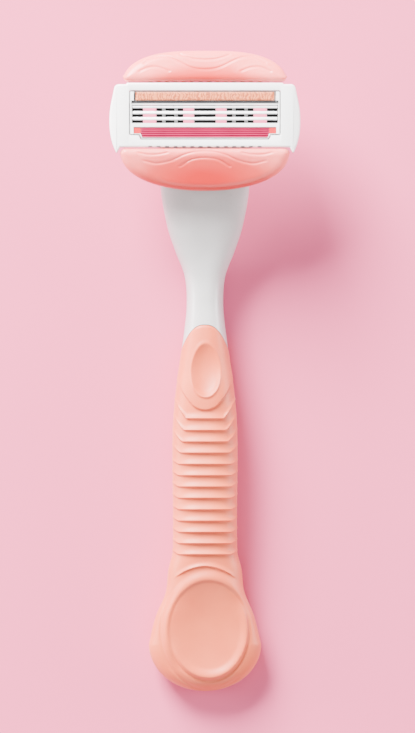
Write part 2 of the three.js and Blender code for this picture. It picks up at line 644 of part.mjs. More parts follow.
// A bar is drawn with its rail edge at y = 0 and turned for the other side
function placeBar(geometry, upper) {
  if (upper) return geometry.translate(0, RAIL_TOP + GAP, 0);
  return geometry.rotateZ(Math.PI).translate(0, RAIL_BOTTOM - HINGE_GAP, 0);
}

function fall(geometry) {
  const place = geometry.attributes.position;
  for (let i = 0; i < place.count; i += 1) {
    const y = Math.max(place.getY(i), 0);
    place.setZ(i, place.getZ(i) - BAR_SLOPE * y * (1 + place.getZ(i) / 8));
  }
  return geometry;
}

function gelBar(bar, upper) {
  const body = fall(plate(barShape(bar, 0), -BAR_DEPTH, 0.2, BAR_BEVEL));
  const room = box(
    -HEAD_HALF_LENGTH, HEAD_HALF_LENGTH, -1, UPSTAND + GAP, -BAR_DEPTH - 2, UPSTAND_TOP + GAP,
  );
  return placeBar(cut(body, room), upper);
}

function barCarrier(bar, upper) {
  const low = -BAR_DEPTH - GAP - CARRIER_THICKNESS;
  const base = fall(plate(barShape(bar, 1.4), low, -BAR_DEPTH - GAP));
  const run = (TAB_COUNT - 1) * TAB_PITCH / 2;
  const wall = box(-run - 1, run + 1, 0, UPSTAND, low, UPSTAND_TOP);
  const foot = box(-run - 1, run + 1, 0, 2.2, low, low + CARRIER_THICKNESS - 0.3);
  const tabs = [];
  for (let i = 0; i < TAB_COUNT; i += 1) {
    const x = -run + i * TAB_PITCH;
    tabs.push(box(x - 0.5, x + 0.5, -0.2, 0.3, UPSTAND_TOP - 0.6, UPSTAND_TOP - 0.05));
  }
  return placeBar(join(base, wall, foot, ...tabs), upper);
}

// ---- Yoke, in the head's frame ----
function toHeadFrame(geometry) {
  return geometry
    .rotateX(DOCK_ANGLE)
    .translate(0, HANDLE_LENGTH - HEAD_Y, DOCK_Z - FACE_HEIGHT);
}

function yoke() {
  const body = toHeadFrame(box(-YOKE_HALF_WIDTH, YOKE_HALF_WIDTH, GAP, YOKE_LENGTH, -YOKE_UNDER, YOKE_OVER));
  const socket = toHeadFrame(box(
    -TONGUE_HALF_WIDTH - 0.2, TONGUE_HALF_WIDTH + 0.2, -1, YOKE_LENGTH + 3,
    -TONGUE_HALF_HEIGHT - 0.2, TONGUE_HALF_HEIGHT + 0.2,
  ));
  const [x0, x1] = BEARING_X;
  const arm = yokeArm();
  return cut(join(body, across(arm, x0, x1), across(arm, -x1, -x0)), socket);
}

// Round shoe about the pivot and the web that ties it to the yoke's body, in (y, z)
function yokeArm() {
  const inner = BEARING_RADIUS + GAP;
  const outer = inner + SHOE_THICKNESS;
  const low = -Math.PI / 2 - THREE.MathUtils.degToRad(40);
  const high = -Math.PI / 2 + THREE.MathUtils.degToRad(10);
  const shape = new THREE.Shape();
  shape.absarc(PIVOT.y, PIVOT.z, inner, low, high, false);
  shape.absarc(PIVOT.y, PIVOT.z, outer, high, -Math.PI / 2 - 0.15, true);
  const along = (y, z) => [
    HANDLE_LENGTH - HEAD_Y + y * Math.cos(DOCK_ANGLE) - z * Math.sin(DOCK_ANGLE),
    DOCK_Z - FACE_HEIGHT + y * Math.sin(DOCK_ANGLE) + z * Math.cos(DOCK_ANGLE),
  ];
  shape.lineTo(...along(YOKE_LENGTH - 1, -1.4));
  shape.lineTo(...along(YOKE_LENGTH - 1, YOKE_OVER - 0.1));
  shape.closePath();
  return shape;
}

// ---- Assembly ----
const FINISH = {
  whitePlastic: { color: '#ececea', roughness: 0.35, metalness: 0 },
  greyPlastic: { color: '#b9bbbd', roughness: 0.5, metalness: 0 },
  peachElastomer: { color: '#f0b5a2', roughness: 0.55, metalness: 0 },
  pinkElastomer: { color: '#f2487c', roughness: 0.5, metalness: 0 },
  salmonGel: { color: '#f58480', roughness: 0.3, metalness: 0 },
  peachStrip: { color: '#f2b79c', roughness: 0.6, metalness: 0 },
  bladeSteel: { color: '#eceef0', roughness: 0.2, metalness: 1 },
  supportSteel: { color: '#8d9094', roughness: 0.4, metalness: 1 },
  springSteel: { color: '#a5a8ac', roughness: 0.3, metalness: 1 },
};

function named(name, geometry, finish) {
  const mesh = new THREE.Mesh(geometry, new THREE.MeshStandardMaterial(FINISH[finish]));
  mesh.name = name;
  return mesh;
}

function handle() {
  const group = new THREE.Group();
  group.add(
    named('handle_core', handleCore(), 'whitePlastic'),
    named('grip_overmould', gripOvermould(), 'peachElastomer'),
    named('dock', dock(), 'greyPlastic'),
    named('plunger', plunger(), 'greyPlastic'),
    named('plunger_spring', plungerSpring(), 'springSteel'),
    named('ejector_fork', ejectorFork(), 'greyPlastic'),
    named('release_button', releaseButton(), 'greyPlastic'),
  );
  return group;
}

function head() {
  const group = new THREE.Group();
  group.add(
    named('yoke', yoke(), 'whitePlastic'),
    named('outer_frame', outerFrame(), 'whitePlastic'),
    named('blade_housing', bladeHousing(), 'whitePlastic'),
    named('lubricating_strip', lubricatingStrip(), 'peachStrip'),
    named('guard_fins', guardFins(), 'pinkElastomer'),
    named('upper_gel_bar', gelBar(UPPER_BAR, true), 'salmonGel'),
    named('lower_gel_bar', gelBar(LOWER_BAR, false), 'salmonGel'),
    named('upper_bar_carrier', barCarrier(UPPER_BAR, true), 'whitePlastic'),
    named('lower_bar_carrier', barCarrier(LOWER_BAR, false), 'whitePlastic'),
  );
  for (let i = 0; i < BLADE_COUNT; i += 1) {
    group.add(
      named(`blade_${i + 1}`, blade(i), 'bladeSteel'),
      named(`blade_support_${i + 1}`, bladeSupport(i), 'supportSteel'),
    );
  }
  group.position.set(0, HEAD_Y, FACE_HEIGHT);
  return group;
}

const razor = new THREE.Group();
razor.add(handle(), head());
razor.position.set(0, -OVERALL_LENGTH / 2, 0);

export default razor;
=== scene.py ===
"""Cartridge razor on a pale floor, seen from straight above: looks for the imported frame."""

import math

import bpy
import numpy as np
from mathutils import Matrix, Vector


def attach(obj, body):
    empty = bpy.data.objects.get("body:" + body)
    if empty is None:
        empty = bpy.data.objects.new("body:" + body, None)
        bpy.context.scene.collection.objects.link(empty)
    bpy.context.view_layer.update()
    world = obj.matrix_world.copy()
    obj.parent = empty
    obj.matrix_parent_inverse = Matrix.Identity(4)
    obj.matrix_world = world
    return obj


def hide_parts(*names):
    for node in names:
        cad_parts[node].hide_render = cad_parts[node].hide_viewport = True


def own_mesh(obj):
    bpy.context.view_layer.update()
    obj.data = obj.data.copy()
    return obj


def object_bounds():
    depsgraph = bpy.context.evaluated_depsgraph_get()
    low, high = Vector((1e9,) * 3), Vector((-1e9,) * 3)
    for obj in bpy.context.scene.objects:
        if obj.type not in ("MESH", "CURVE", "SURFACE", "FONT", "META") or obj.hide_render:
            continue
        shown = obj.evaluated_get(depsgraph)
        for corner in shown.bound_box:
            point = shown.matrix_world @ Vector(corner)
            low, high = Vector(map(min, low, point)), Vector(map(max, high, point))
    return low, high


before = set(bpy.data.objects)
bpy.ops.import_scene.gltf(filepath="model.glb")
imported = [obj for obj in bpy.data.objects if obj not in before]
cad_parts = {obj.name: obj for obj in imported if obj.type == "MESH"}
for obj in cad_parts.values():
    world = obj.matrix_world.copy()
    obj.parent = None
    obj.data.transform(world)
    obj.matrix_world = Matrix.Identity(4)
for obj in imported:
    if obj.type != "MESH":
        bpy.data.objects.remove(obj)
cad_low, cad_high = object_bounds()
MM = 0.001


# ---- Studio ----
# The razor lies on its back on a plain pale pink sheet. A long lens looks straight down on its front, and
# big soft lamps stand round it, the brightest beyond the head and to the left.
def linear(hex_colour):
    """The linear colour of an sRGB hex value, with full alpha."""
    parts = [int(hex_colour[i:i + 2], 16) / 255 for i in (1, 3, 5)]
    return (*[p / 12.92 if p <= 0.04045 else ((p + 0.055) / 1.055) ** 2.4 for p in parts], 1.0)


def add_node(tree, kind, sockets=None, stops=None, **settings):
    """A shader node with its settings, socket values or links, and colour stops."""
    made = tree.nodes.new("ShaderNode" + kind)
    for key, value in settings.items():
        setattr(made, key, value)
    for key, value in (sockets or {}).items():
        if isinstance(value, bpy.types.NodeSocket):
            tree.links.new(value, made.inputs[key])
        else:
            made.inputs[key].default_value = value
    for i, (place, colour) in enumerate(stops or []):
        ramp = made.color_ramp.elements
        stop = ramp[i] if i < 2 else ramp.new(place)
        stop.position = place
        stop.color = colour
    return made


def lamp(name, place, aim, size, power, colour="#FFFFFF"):
    """A square soft lamp, aimed at a point and hidden from the lens."""
    data = bpy.data.lights.new(name, "AREA")
    data.size = size
    data.energy = power
    data.color = linear(colour)[:3]
    made = bpy.data.objects.new(name, data)
    made.location = place
    made.rotation_euler = (Vector(aim) - Vector(place)).to_track_quat("-Z", "Y").to_euler()
    made.visible_camera = False
    bpy.context.collection.objects.link(made)


LENS_DISTANCE = 2.5
FIELD_HEIGHT = 0.1716  # what the frame's height takes in at the razor
SENSOR = 36
camera = bpy.data.objects.new("camera", bpy.data.cameras.new("camera"))
camera.location = (0.0006, 0.0012, LENS_DISTANCE + 0.015)
camera.data.sensor_width = SENSOR
camera.data.lens = SENSOR * LENS_DISTANCE / FIELD_HEIGHT
camera.data.clip_end = 50
bpy.context.collection.objects.link(camera)
bpy.context.scene.camera = camera

lamp("key", (-0.45, 0.85, 0.62), (0, 0.0, 0.01), 0.55, 108)
lamp("over", (0.1, 0.1, 1.3), (0, 0, 0.01), 0.9, 6)
lamp("fill", (0.1, -0.9, 0.5), (0, -0.02, 0.01), 0.6, 7)
lamp("side_left", (-0.8, 0.1, 0.16), (0, 0, 0.01), 0.3, 11)
lamp("side_right", (0.8, 0.1, 0.16), (0, 0, 0.01), 0.3, 8)

world = bpy.data.worlds.new("studio")
world.use_nodes = True
world.node_tree.nodes["Background"].inputs["Color"].default_value = linear("#F6E6E8")
world.node_tree.nodes["Background"].inputs["Strength"].default_value = 0.5
bpy.context.scene.world = world

bpy.ops.object.select_all(action="DESELECT")
bpy.ops.mesh.primitive_circle_add(vertices=64, radius=15, fill_type="NGON", location=(0, 0, -0.0002))
floor = bpy.context.object
floor.name = "floor"
paper = bpy.data.materials.new("matt_paper_sheet")
paper.use_nodes = True
paper_shader = paper.node_tree.nodes["Principled BSDF"]
paper_shader.inputs["Base Color"].default_value = linear("#DE6088")
paper_shader.inputs["Roughness"].default_value = 0.9
floor.data.materials.append(paper)


# ---- White core with the bare neck ----
# Injection-moulded white ABS, one piece from inside the paddle to the dock. Only the neck shows, satin and
# smooth. A slot in its back takes the release button.
def finish_of(name, dark, light, rough, grain, depth, cloud, **sockets):
    """Material of a moulded surface: cloudy colour between two shades over a fine grain, sizes in mm."""
    made = bpy.data.materials.new(name)
    made.use_nodes = True
    tree = made.node_tree
    shader = tree.nodes["Principled BSDF"]
    for key, value in sockets.items():
        shader.inputs[key.replace("_", " ")].default_value = value
    place = add_node(tree, "TexCoord").outputs["Object"]
    clouds = add_node(tree, "TexNoise", {"Vector": place, "Scale": 1 / (cloud * MM), "Detail": 3.0})
    tint = add_node(tree, "ValToRGB", {"Fac": clouds.outputs["Fac"]},
                    stops=[(0.3, linear(dark)), (0.7, linear(light))])
    tree.links.new(tint.outputs["Color"], shader.inputs["Base Color"])
    fine = add_node(tree, "TexNoise", {"Vector": place, "Scale": 1 / (grain * MM), "Detail": 2.0})
    gloss = add_node(tree, "MapRange", {"Value": fine.outputs["Fac"], "From Min": 0.3, "From Max": 0.7,
                                        "To Min": rough - 0.05, "To Max": rough + 0.05})
    tree.links.new(gloss.outputs["Result"], shader.inputs["Roughness"])
    bump = add_node(tree, "Bump", {"Height": fine.outputs["Fac"], "Strength": 1.0, "Distance": depth * MM})
    tree.links.new(bump.outputs["Normal"], shader.inputs["Normal"])
    return made


# Moulded ABS with the soft satin of a fine-blasted mould; its greyer white is painted shade for the neck, and
# the yoke and carriers share it
white_abs_painted_shade = finish_of("moulded_abs_painted_shade", "#B8B5B4", "#C0BDBC", 0.32, 0.5, 0.004, 6,
                      IOR=1.53, Subsurface_Weight=0.05, Subsurface_Radius=(0.001, 0.001, 0.001),
                      Subsurface_Scale=0.5)


def curve_through(points):
    """A smooth curve through (station, value) points."""
    at, value = np.array(points, float).T
    after = np.minimum(np.arange(len(at)) + 1, len(at) - 1)
    before = np.maximum(np.arange(len(at)) - 1, 0)
    slope = (value[after] - value[before]) / (at[after] - at[before])

    def curve(s):
        i = np.clip(np.searchsorted(at, s, side="right") - 1, 0, len(at) - 2)
        run = at[i + 1] - at[i]
        t = np.clip((s - at[i]) / run, 0, 1)
        rise = 3 * t ** 2 - 2 * t ** 3
        bends = (t ** 3 - 2 * t ** 2 + t) * slope[i] + (t ** 3 - t ** 2) * slope[i + 1]
        return value[i] + (value[i + 1] - value[i]) * rise + bends * run

    return curve


def smooth(value, low, high):
    """0 below low, 1 above high, and an easy S between."""
    t = np.clip((value - low) / (high - low), 0, 1)
    return t * t * (3 - 2 * t)


# Stations run along the handle from the paddle's tip, in mm
TIP_Y = cad_low[1] / MM
HANDLE_LENGTH = 122.9
PADDLE_HALF_WIDTH = 13.2
PADDLE_ROUND = 11
EDGE_ROUND = 5
SQUARENESS = 2.5
DOCK_Z = 15.419
DOCK_ANGLE = math.radians(20)
NECK_END = -3.3
side_curve = curve_through([
    (11, 13.2), (17.5, 11.6), (23, 9.3), (28.7, 8.6), (33, 7.6), (61, 7.6), (72, 6.7), (83.6, 5),
    (91, 4.3), (97.6, 4.8), (103.2, 6.9), (109, 8.8), (117.3, 10.3), (122.9, 10.4)])
front_curve = curve_through([
    (0, 8.2), (11, 9.6), (33, 11.9), (55, 13), (70, 13.2), (83, 12.2), (92, 11.4), (100, 12),
    (108, 14.22), (114, 16.02), (122.9, 17.8)])
back_curve = curve_through([
    (0, -0.2), (6, -0.5), (20, -0.5), (26, 0.2), (38, 1.3), (55, 1.6), (70, 1), (82, 0.1), (89, -0.35),
    (95, -0.2), (101, 1.6), (108, 5), (114, 8.0), (122.9, 11.6)])


def bulge(value):
    """A circle's share of the way out, squared up a little."""
    return np.sign(value) * np.abs(value) ** (2 / SQUARENESS)


def section(s, angle, side=0, front=0, back=0, start=0):
    """Across and up of the handle's surface at a station, drawn in by the skins that are given."""
    from_tip = np.maximum(s - start, 0.0)
    round_off = np.sqrt(1 - np.maximum(1 - from_tip / EDGE_ROUND, 0) ** 2)
    oval = np.sqrt(np.maximum(1 - np.maximum((PADDLE_ROUND - from_tip) / PADDLE_ROUND, 0) ** 2, 0))
    wide = np.where(s >= PADDLE_ROUND, side_curve(s), PADDLE_HALF_WIDTH) * oval - side * (oval > 0.3)
    top = front_curve(s) - front
    bottom = back_curve(s) + back
    tall = (top - bottom) / 2 * round_off
    return bulge(np.cos(angle)) * wide, (top + bottom) / 2 + bulge(np.sin(angle)) * tall


ARCH_TOP = 86.0


def arch_station(angle, offset=0.0):
    """The station where the elastomer's arched end crosses the surface at this angle."""
    s = np.full_like(angle, 82.0)
    for _ in range(6):
        across = np.abs(bulge(np.cos(angle)) * side_curve(s))
        s = ARCH_TOP + offset - 0.081 * across ** 2.5
    return s


def formed(name, rings, segments, place):
    """A ball whose vertices are moved to place(ring, share of a turn), in mm."""
    bpy.ops.object.select_all(action="DESELECT")
    bpy.ops.mesh.primitive_uv_sphere_add(segments=segments, ring_count=rings, radius=1)
    piece = bpy.context.object
    piece.name = name
    at = np.empty(len(piece.data.vertices) * 3)
    piece.data.vertices.foreach_get("co", at)
    at = at.reshape(-1, 3)
    ring = np.rint(np.arccos(np.clip(at[:, 2], -1, 1)) / math.pi * rings)
    turn = np.rint(np.arctan2(at[:, 1], at[:, 0]) / (2 * math.pi) * segments) % segments / segments
    x, y, z = place(ring, turn)
    piece.data.vertices.foreach_set("co", (np.c_[x, y, z] * MM).ravel())
    bpy.ops.object.mode_set(mode="EDIT")
    bpy.ops.mesh.select_all(action="SELECT")
    bpy.ops.mesh.normals_make_consistent(inside=False)
    bpy.ops.object.mode_set(mode="OBJECT")
    bpy.ops.object.shade_smooth_by_angle(angle=math.radians(45))
    return piece


def fit(piece, body, slot, look, *nodes):
    """Gives a piece its finish, hangs it on its body and lets it stand for its CAD nodes."""
    piece.data.name = piece.name
    piece.data.materials.clear()
    piece.data.materials.append(look)
    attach(piece, body)
    if nodes:
        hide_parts(*nodes)
    return piece


def place_core(ring, turn):
    angle = turn * 2 * math.pi
    buried, bare = 40, 190
    arch = arch_station(angle, 0.15)
    start = 3.3
    inner_x, inner_z = section(start + (arch - start) * ring / buried, angle, 1.5, 2.6, 1.5, start)
    inner_s = start + (arch - start) * ring / buried
    end = np.full_like(angle, HANDLE_LENGTH - 4)
    for _ in range(8):
        _, end_z = section(end, angle)
        end = HANDLE_LENGTH + (NECK_END - (end_z - DOCK_Z) * math.sin(DOCK_ANGLE)) / math.cos(DOCK_ANGLE)
    share = np.clip((ring - buried - 1) / (bare - buried - 1), 0, 1)
    s = arch + (end - arch) * share
    x, z = section(s, angle)
    roll = np.clip((ring - bare) / 4, 0, 1)  # rounded edge at the dock, then the flat end
    flat = np.clip((ring - bare - 4) / 6, 0, 1)
    middle = 14.2
    edge_in = 0.4 * (1 - np.cos(roll * math.pi / 2))
    shrink = (1 - edge_in / 8) * (1 - flat)
    x = np.where(ring > bare, x * shrink, x)
    z = np.where(ring > bare, middle + (z - middle) * shrink, z)
    plane = HANDLE_LENGTH + (NECK_END - (z - DOCK_Z) * math.sin(DOCK_ANGLE)) / math.cos(DOCK_ANGLE)
    s = np.where(ring > bare, plane - 0.4 * (1 - np.sin(roll * math.pi / 2)), s - 0.4 * share ** 8)
    x = np.where(ring <= buried, inner_x, x)
    z = np.where(ring <= buried, inner_z, z)
    s = np.where(ring <= buried, inner_s, s)
    return x, s + TIP_Y, np.maximum(z, 0)


core = formed("core", 200, 120, place_core)
dock_place = Matrix.Translation((0, (HANDLE_LENGTH + TIP_Y) * MM, DOCK_Z * MM))
to_dock = dock_place @ Matrix.Rotation(DOCK_ANGLE, 4, "X")


def box_piece(name, low, high, matrix=Matrix()):
    """A cube stretched between two corners in mm, moved by a matrix."""
    bpy.ops.object.select_all(action="DESELECT")
    bpy.ops.mesh.primitive_cube_add(size=1)
    made = bpy.context.object
    made.name = name
    low, high = Vector(low) * MM, Vector(high) * MM
    made.data.transform(matrix @ Matrix.Translation((low + high) / 2) @ Matrix.Diagonal((*(high - low), 1)))
    return made


def carve(piece, tool, operation="DIFFERENCE"):
    """Cuts a tool out of a piece and throws the tool away."""
    bpy.ops.object.select_all(action="DESELECT")
    piece.select_set(True)
    bpy.context.view_layer.objects.active = piece
    cutter = piece.modifiers.new("cut", "BOOLEAN")
    cutter.object = tool
    cutter.operation = operation
    cutter.solver = "EXACT"
    bpy.ops.object.modifier_apply(modifier=cutter.name)
    bpy.data.objects.remove(tool)


ROOMS = {  # low and high corners of the rooms in the core's end, in the dock's frame
    "button_slot": ((-3.1, -16.3, -9), (3.1, -4.7, -1.6)),
    "fork_room": ((-6.8, -13.3, -2.9), (6.8, 1, -1.61)),
    "boss_room": ((-4.7, -9.3, -1.8), (4.7, 1.01, 1.8)),
    "spring_room": ((-2.03, -21.1, -1.63), (2.03, -9, 1.63)),
}
for room, (near, far) in ROOMS.items():
    carve(core, box_piece(room, near, far, to_dock))
fit(core, "handle", "white_plastic", white_abs_painted_shade, "handle_core")


# ---- Elastomer grip ----
# Peach thermoplastic elastomer, moulded over the core as a skin: thumb dimple in a raised pad, thirteen
# shingled ribs, and the dished paddle. Soft and matt, with a little light in it.
RIB_LINES = [-10.9, -13.6, -16.3, -18.9, -21.55, -24.2, -26.85, -29.5, -32.2, -34.9, -37.5, -40.15, -42.75]
RIB_TURNS = [(4.2, 1.4), (4.8, 1.3), (5.2, 1.15), (5.6, 0.9)] + [(6.0, 0.6)] * 9  # where the ends turn up
RIB_RISE = 2.25
RIB_HEIGHT = 0.74
u_line = curve_through([(0, -8.85), (1.2, -8.7), (2.8, -7.8), (4.4, -5.8), (5.8, -3.4), (8, 1.0)])


def shingle(x, y, line, rise, high, power=2.8):
    """A face that rises toward the light along its lower line, then drops sharply."""
    climb = np.clip((line + rise - y) / rise, 0, 1)
    drop = smooth(line - y, 0, 0.3)
    return high * np.where(y > line, climb ** power, 1 - drop)


def relief(x, y):
    """How far the grip's front stands above its plain form."""
    out = np.zeros_like(x)
    wide = np.abs(x)
    for number, (line, (turn, steep)) in enumerate(zip(RIB_LINES, RIB_TURNS)):
        bend = steep * np.maximum(wide - turn, 0) ** 1.3 / 1.2
        reach = 7.6 if number > 2 else 7.3
        lens = np.sqrt(np.maximum(1 - (wide / reach) ** 2, 0))
        out += shingle(x, y, line + bend, 0.6 + (RIB_RISE - 0.6) * lens, RIB_HEIGHT * (0.35 + 0.65 * lens))
    pad_line = u_line(wide)
    out += 0.55 * (1 - smooth(y, -7.5, 2.5)) * smooth(y - pad_line, -0.28, 0.02)
    v = (y - 0.25) / 6.25
    r = np.hypot(v, (x - 0.2) / (3.4 * (1 - 0.09 * v)))
    lower = smooth(-v, -0.1, 0.6)
    out -= 1.3 * np.maximum(1 - r ** 2.4, 0)
    out += 0.32 * lower * smooth(r, 0.75, 1.0) * (1 - smooth(r, 1.0, 1.07))
    out += 0.1 * (1 - lower) * np.exp(-((r - 1.05) / 0.08) ** 2)
    out += shingle(x, y, -45.5 - 0.055 * x ** 2, 1.4, 0.5) * (1 - smooth(wide, 5.2, 7.6))
    dx, dy = x - 0.9, y + 60.8
    dish = np.hypot(dx / 8.9, dy / 11.0)
    toward = (dy * 0.87 - dx * 0.5) / (np.hypot(dx, dy) + 1e-6)
    above = smooth(toward, -0.45, 0.35)
    out -= 1.6 * np.maximum(1 - dish ** 2.0, 0)
    out += above * 0.6 * smooth(dish, 1.01, 1.1) * (1 - smooth(dish, 1.12, 1.32))
    out += (1 - above) * 0.5 * smooth(dish, 0.8, 1.0) * (1 - smooth(dish, 1.0, 1.06))
    out -= (1 - above) * 0.3 * np.exp(-((dish - 1.08) / 0.03) ** 2)
    crease = smooth(-dx * 0.8 - dy * 0.6, -2, 5)
    out -= 0.3 * crease * np.exp(-((dish - 1.27) / 0.035) ** 2)
    return out


GRIP_STATIONS = np.interp(
    np.arange(591) / 590, [0, 0.07, 0.27, 0.33, 0.8, 1], [0, 5, 27, 31.5, 66.5, 86])


def place_grip(ring, turn):
    outside = 590
    front_share = 0.70  # more of the turn's segments lie on the front than on the back
    angle = np.where(turn < front_share, turn / front_share * math.pi,
                     math.pi + (turn - front_share) / (1 - front_share) * math.pi)
    arch = arch_station(angle)
    s = GRIP_STATIONS[np.clip(ring, 0, outside).astype(int)]
    warp = np.clip((s - 68) / (86 - 68), 0, 1)
    s = np.where(s > 68, 68 + (arch - 68) * warp, s)
    s = np.where(ring == 0, 0, s)
    x, z = section(s, angle)
    wide = np.maximum(np.abs(section(s, np.zeros_like(s))[0]), 0.1)
    tall = np.maximum((front_curve(s) - back_curve(s)) / 2, 0.1)
    nx = np.sign(x) * np.abs(np.cos(angle)) ** 1.2 / wide
    nz = np.sign(np.sin(angle)) * np.abs(np.sin(angle)) ** 1.2 / tall
    length = np.hypot(nx, nz) + 1e-9
    facing = smooth(np.sin(angle), -0.1, 0.12)
    high = relief(x, s + TIP_Y) * facing
    edge = smooth(s, arch - 0.6, arch)  # the rim at the arch rolls down to the neck
    high = high + 0.12 * (1 - edge) * smooth(s, 74, 80)
    x, z = x + 0.45 * nx / length * high, z + nz / length * high
    # back along the inside, from the rim to the pocket's end
    inner = np.clip((ring - outside - 1) / 20, 0, 1)
    inner_s = arch + (3.0 - arch) * inner
    ix, iz = section(inner_s, angle, 1.46, 2.56, 1.46, 3.0)
    x = np.where(ring > outside, ix, x)
    z = np.where(ring > outside, iz, z)
    s = np.where(ring > outside, inner_s, s)
    return x, s + TIP_Y, np.maximum(z, np.where(ring > outside, 1.2, 0))


# Moulded elastomer: peach, matt, with light carried a short way under the skin
peach_tpe = finish_of("moulded_peach_elastomer", "#D45C36", "#DC663E", 0.5, 0.35, 0.006, 9,
                      IOR=1.5, Subsurface_Weight=0.25, Subsurface_Radius=(0.0012, 0.0006, 0.0004),
                      Subsurface_Scale=1.0, Sheen_Weight=0.1, Sheen_Roughness=0.5)
grip = formed("grip", 612, 150, place_grip)
fit(grip, "handle", "peach_elastomer", peach_tpe, "grip_overmould")


# ---- Outer frame ----
# White ABS frame that carries everything on the cartridge: two rails and two bulging end caps that hold
# the blade ends. Polished mould, with rounded outer edges and a crisp window.
HEAD_Y = 59.8555
FACE_Z = 25.0
to_head = Matrix.Translation((0, HEAD_Y * MM, FACE_Z * MM))
RAIL = 7.55
WINDOW_X, WINDOW_Y, WIDE_LOW, NOTCH_X = 17.7, 5.75, -4.75, 15.0


def bezier(points, steps):
    """Points along a curve from its control points, the last one left out."""
    t = np.arange(steps)[:, None] / steps
    ladder = [np.array(p, float) * np.ones_like(t) for p in points]
    while len(ladder) > 1:
        ladder = [a + (b - a) * t for a, b in zip(ladder, ladder[1:])]
    return [tuple(p) for p in ladder[0]]


def slab(name, right, top, bottom):
    """A plate from the right-hand half of its outline, listed from top to bottom, in the head's frame."""
    ring = right + [(-x, y) for x, y in reversed(right) if x > 1e-6]
    bpy.ops.object.select_all(action="DESELECT")
    bpy.ops.mesh.primitive_circle_add(vertices=len(ring), radius=1, fill_type="NGON")
    made = bpy.context.object
    made.name = name
    for vertex, (x, y) in zip(made.data.vertices, ring):
        vertex.co = to_head @ Vector((x * MM, y * MM, top * MM))
    bpy.ops.object.mode_set(mode="EDIT")
    bpy.ops.mesh.select_all(action="SELECT")
    bpy.ops.mesh.extrude_region_move(TRANSFORM_OT_translate={"value": (0, 0, (bottom - top) * MM)})
    bpy.ops.mesh.select_all(action="SELECT")
    bpy.ops.mesh.normals_make_consistent(inside=False)
    bpy.ops.object.mode_set(mode="OBJECT")
    return made


def pick_edges(piece, wanted):
    """Selects, for edit mode, the edges whose two ends both pass a test in the head's frame, in mm."""
    back = to_head.inverted()
    for part in (piece.data.polygons, piece.data.edges, piece.data.vertices):
        part.foreach_set("select", [False] * len(part))
    for edge in piece.data.edges:
        a, b = [back @ piece.data.vertices[i].co / MM for i in edge.vertices]
        edge.select = wanted(a, b)
    bpy.ops.object.select_all(action="DESELECT")
    piece.select_set(True)
    bpy.context.view_layer.objects.active = piece


def bevel_picked(offset, steps):
    """Rounds the edges that pick_edges() selected, offset in mm."""
    bpy.ops.object.mode_set(mode="EDIT")
    bpy.ops.mesh.select_mode(type="EDGE")
    bpy.ops.mesh.bevel(offset=offset * MM, segments=steps, affect="EDGES")
    bpy.ops.object.mode_set(mode="OBJECT")


cap_side = [(0, RAIL), (18.1, RAIL), (18.4, 7.2)] + bezier([(20.1, 7.2), (21.0, 7.1), (21.2, 6.2)], 8)
cap_side += bezier([(21.2, 6.2), (21.7, 3.45), (22.3, 2.0), (22.3, -1.4)], 14)
cap_side += bezier([(22.3, -1.4), (22.3, -4.3), (21.8, -6.6), (20.7, -8.8)], 14)
cap_side += [(20.7, -8.8), (20.4, -8.7), (19.8, -7.55), (0, -7.55)]
outer = slab("outer_frame_shell", cap_side, 0, -3.4)
pick_edges(outer, lambda a, b: a.z > -0.01 and b.z > -0.01)
bevel_picked(0.5, 5)
bpy.ops.object.mode_set(mode="EDIT")
for step in range(12):
    for side in (-1, 1):
        bpy.ops.mesh.select_all(action="SELECT")
        bpy.ops.mesh.bisect(plane_co=(side * (17.9 + 0.36 * step) * MM, 0, 0), plane_no=(1, 0, 0))
bpy.ops.object.mode_set(mode="OBJECT")
for vertex in outer.data.vertices:  # the caps bulge: their faces fall away toward the ends
    away = max(abs(vertex.co.x) / MM - 18.2, 0)
    if vertex.co.z > (FACE_Z - 1) * MM:
        vertex.co.z -= 0.055 * away ** 2 * MM


def window_outline(inset, round_off=0.5):
    """Right-hand half of the window, with its narrower lower part, drawn in by an inset."""
    x, y, low, notch = WINDOW_X - inset, WINDOW_Y - inset, WIDE_LOW + inset, NOTCH_X - inset
    path = [(0, y)] + bezier([(x - round_off, y), (x, y), (x, y - round_off)], 5)
    path += bezier([(x, low + round_off), (x, low), (x - round_off, low)], 5)
    return path + [(notch + 0.5, low), (notch, -y), (0, -y)]


carve(outer, slab("window", window_outline(0), 1, -5))
for side in (-1, 1):
    reach = sorted((side * 16.7, side * 18.9))
    carve(outer, box_piece("end_room", (reach[0], -4.75, -5), (reach[1], 5.75, -0.7), to_head))
pick_edges(outer, lambda a, b: min(a.z, b.z) > -0.05 and abs(a.x) < 17.75 and abs(b.x) < 17.75
           and abs(a.y) < 5.8 and abs(b.y) < 5.8
           and max(abs(a.x), abs(b.x)) > 0)
bevel_picked(0.12, 2)
TAB_COUNT, TAB_PITCH = 14, 1.96  # small notches over the hinge tabs of the lower bar
first_x = -(TAB_COUNT - 1) * TAB_PITCH / 2
notches = box_piece("notches", (first_x - 0.45, -8, -2.2), (first_x + 0.45, -7.22, 1), to_head)
row = notches.modifiers.new("row", "ARRAY")
row.count = TAB_COUNT
row.use_relative_offset = False
row.use_constant_offset = True
row.constant_offset_displace = (TAB_PITCH * MM, 0, 0)
bpy.ops.object.modifier_apply(modifier=row.name)
carve(outer, notches)
bpy.ops.object.shade_smooth_by_angle(angle=math.radians(35))
# Polished ABS: the plastic's own white, glossier than the neck and without its painted shade
polished_abs = finish_of("polished_white_abs", "#F4F4F3", "#FAFAF9", 0.24, 0.6, 0.002, 8,
                         IOR=1.53, Subsurface_Weight=0.05, Subsurface_Radius=(0.001, 0.001, 0.001),
                         Subsurface_Scale=0.5)
fit(outer, "cartridge", "white_plastic", polished_abs, "outer_frame")
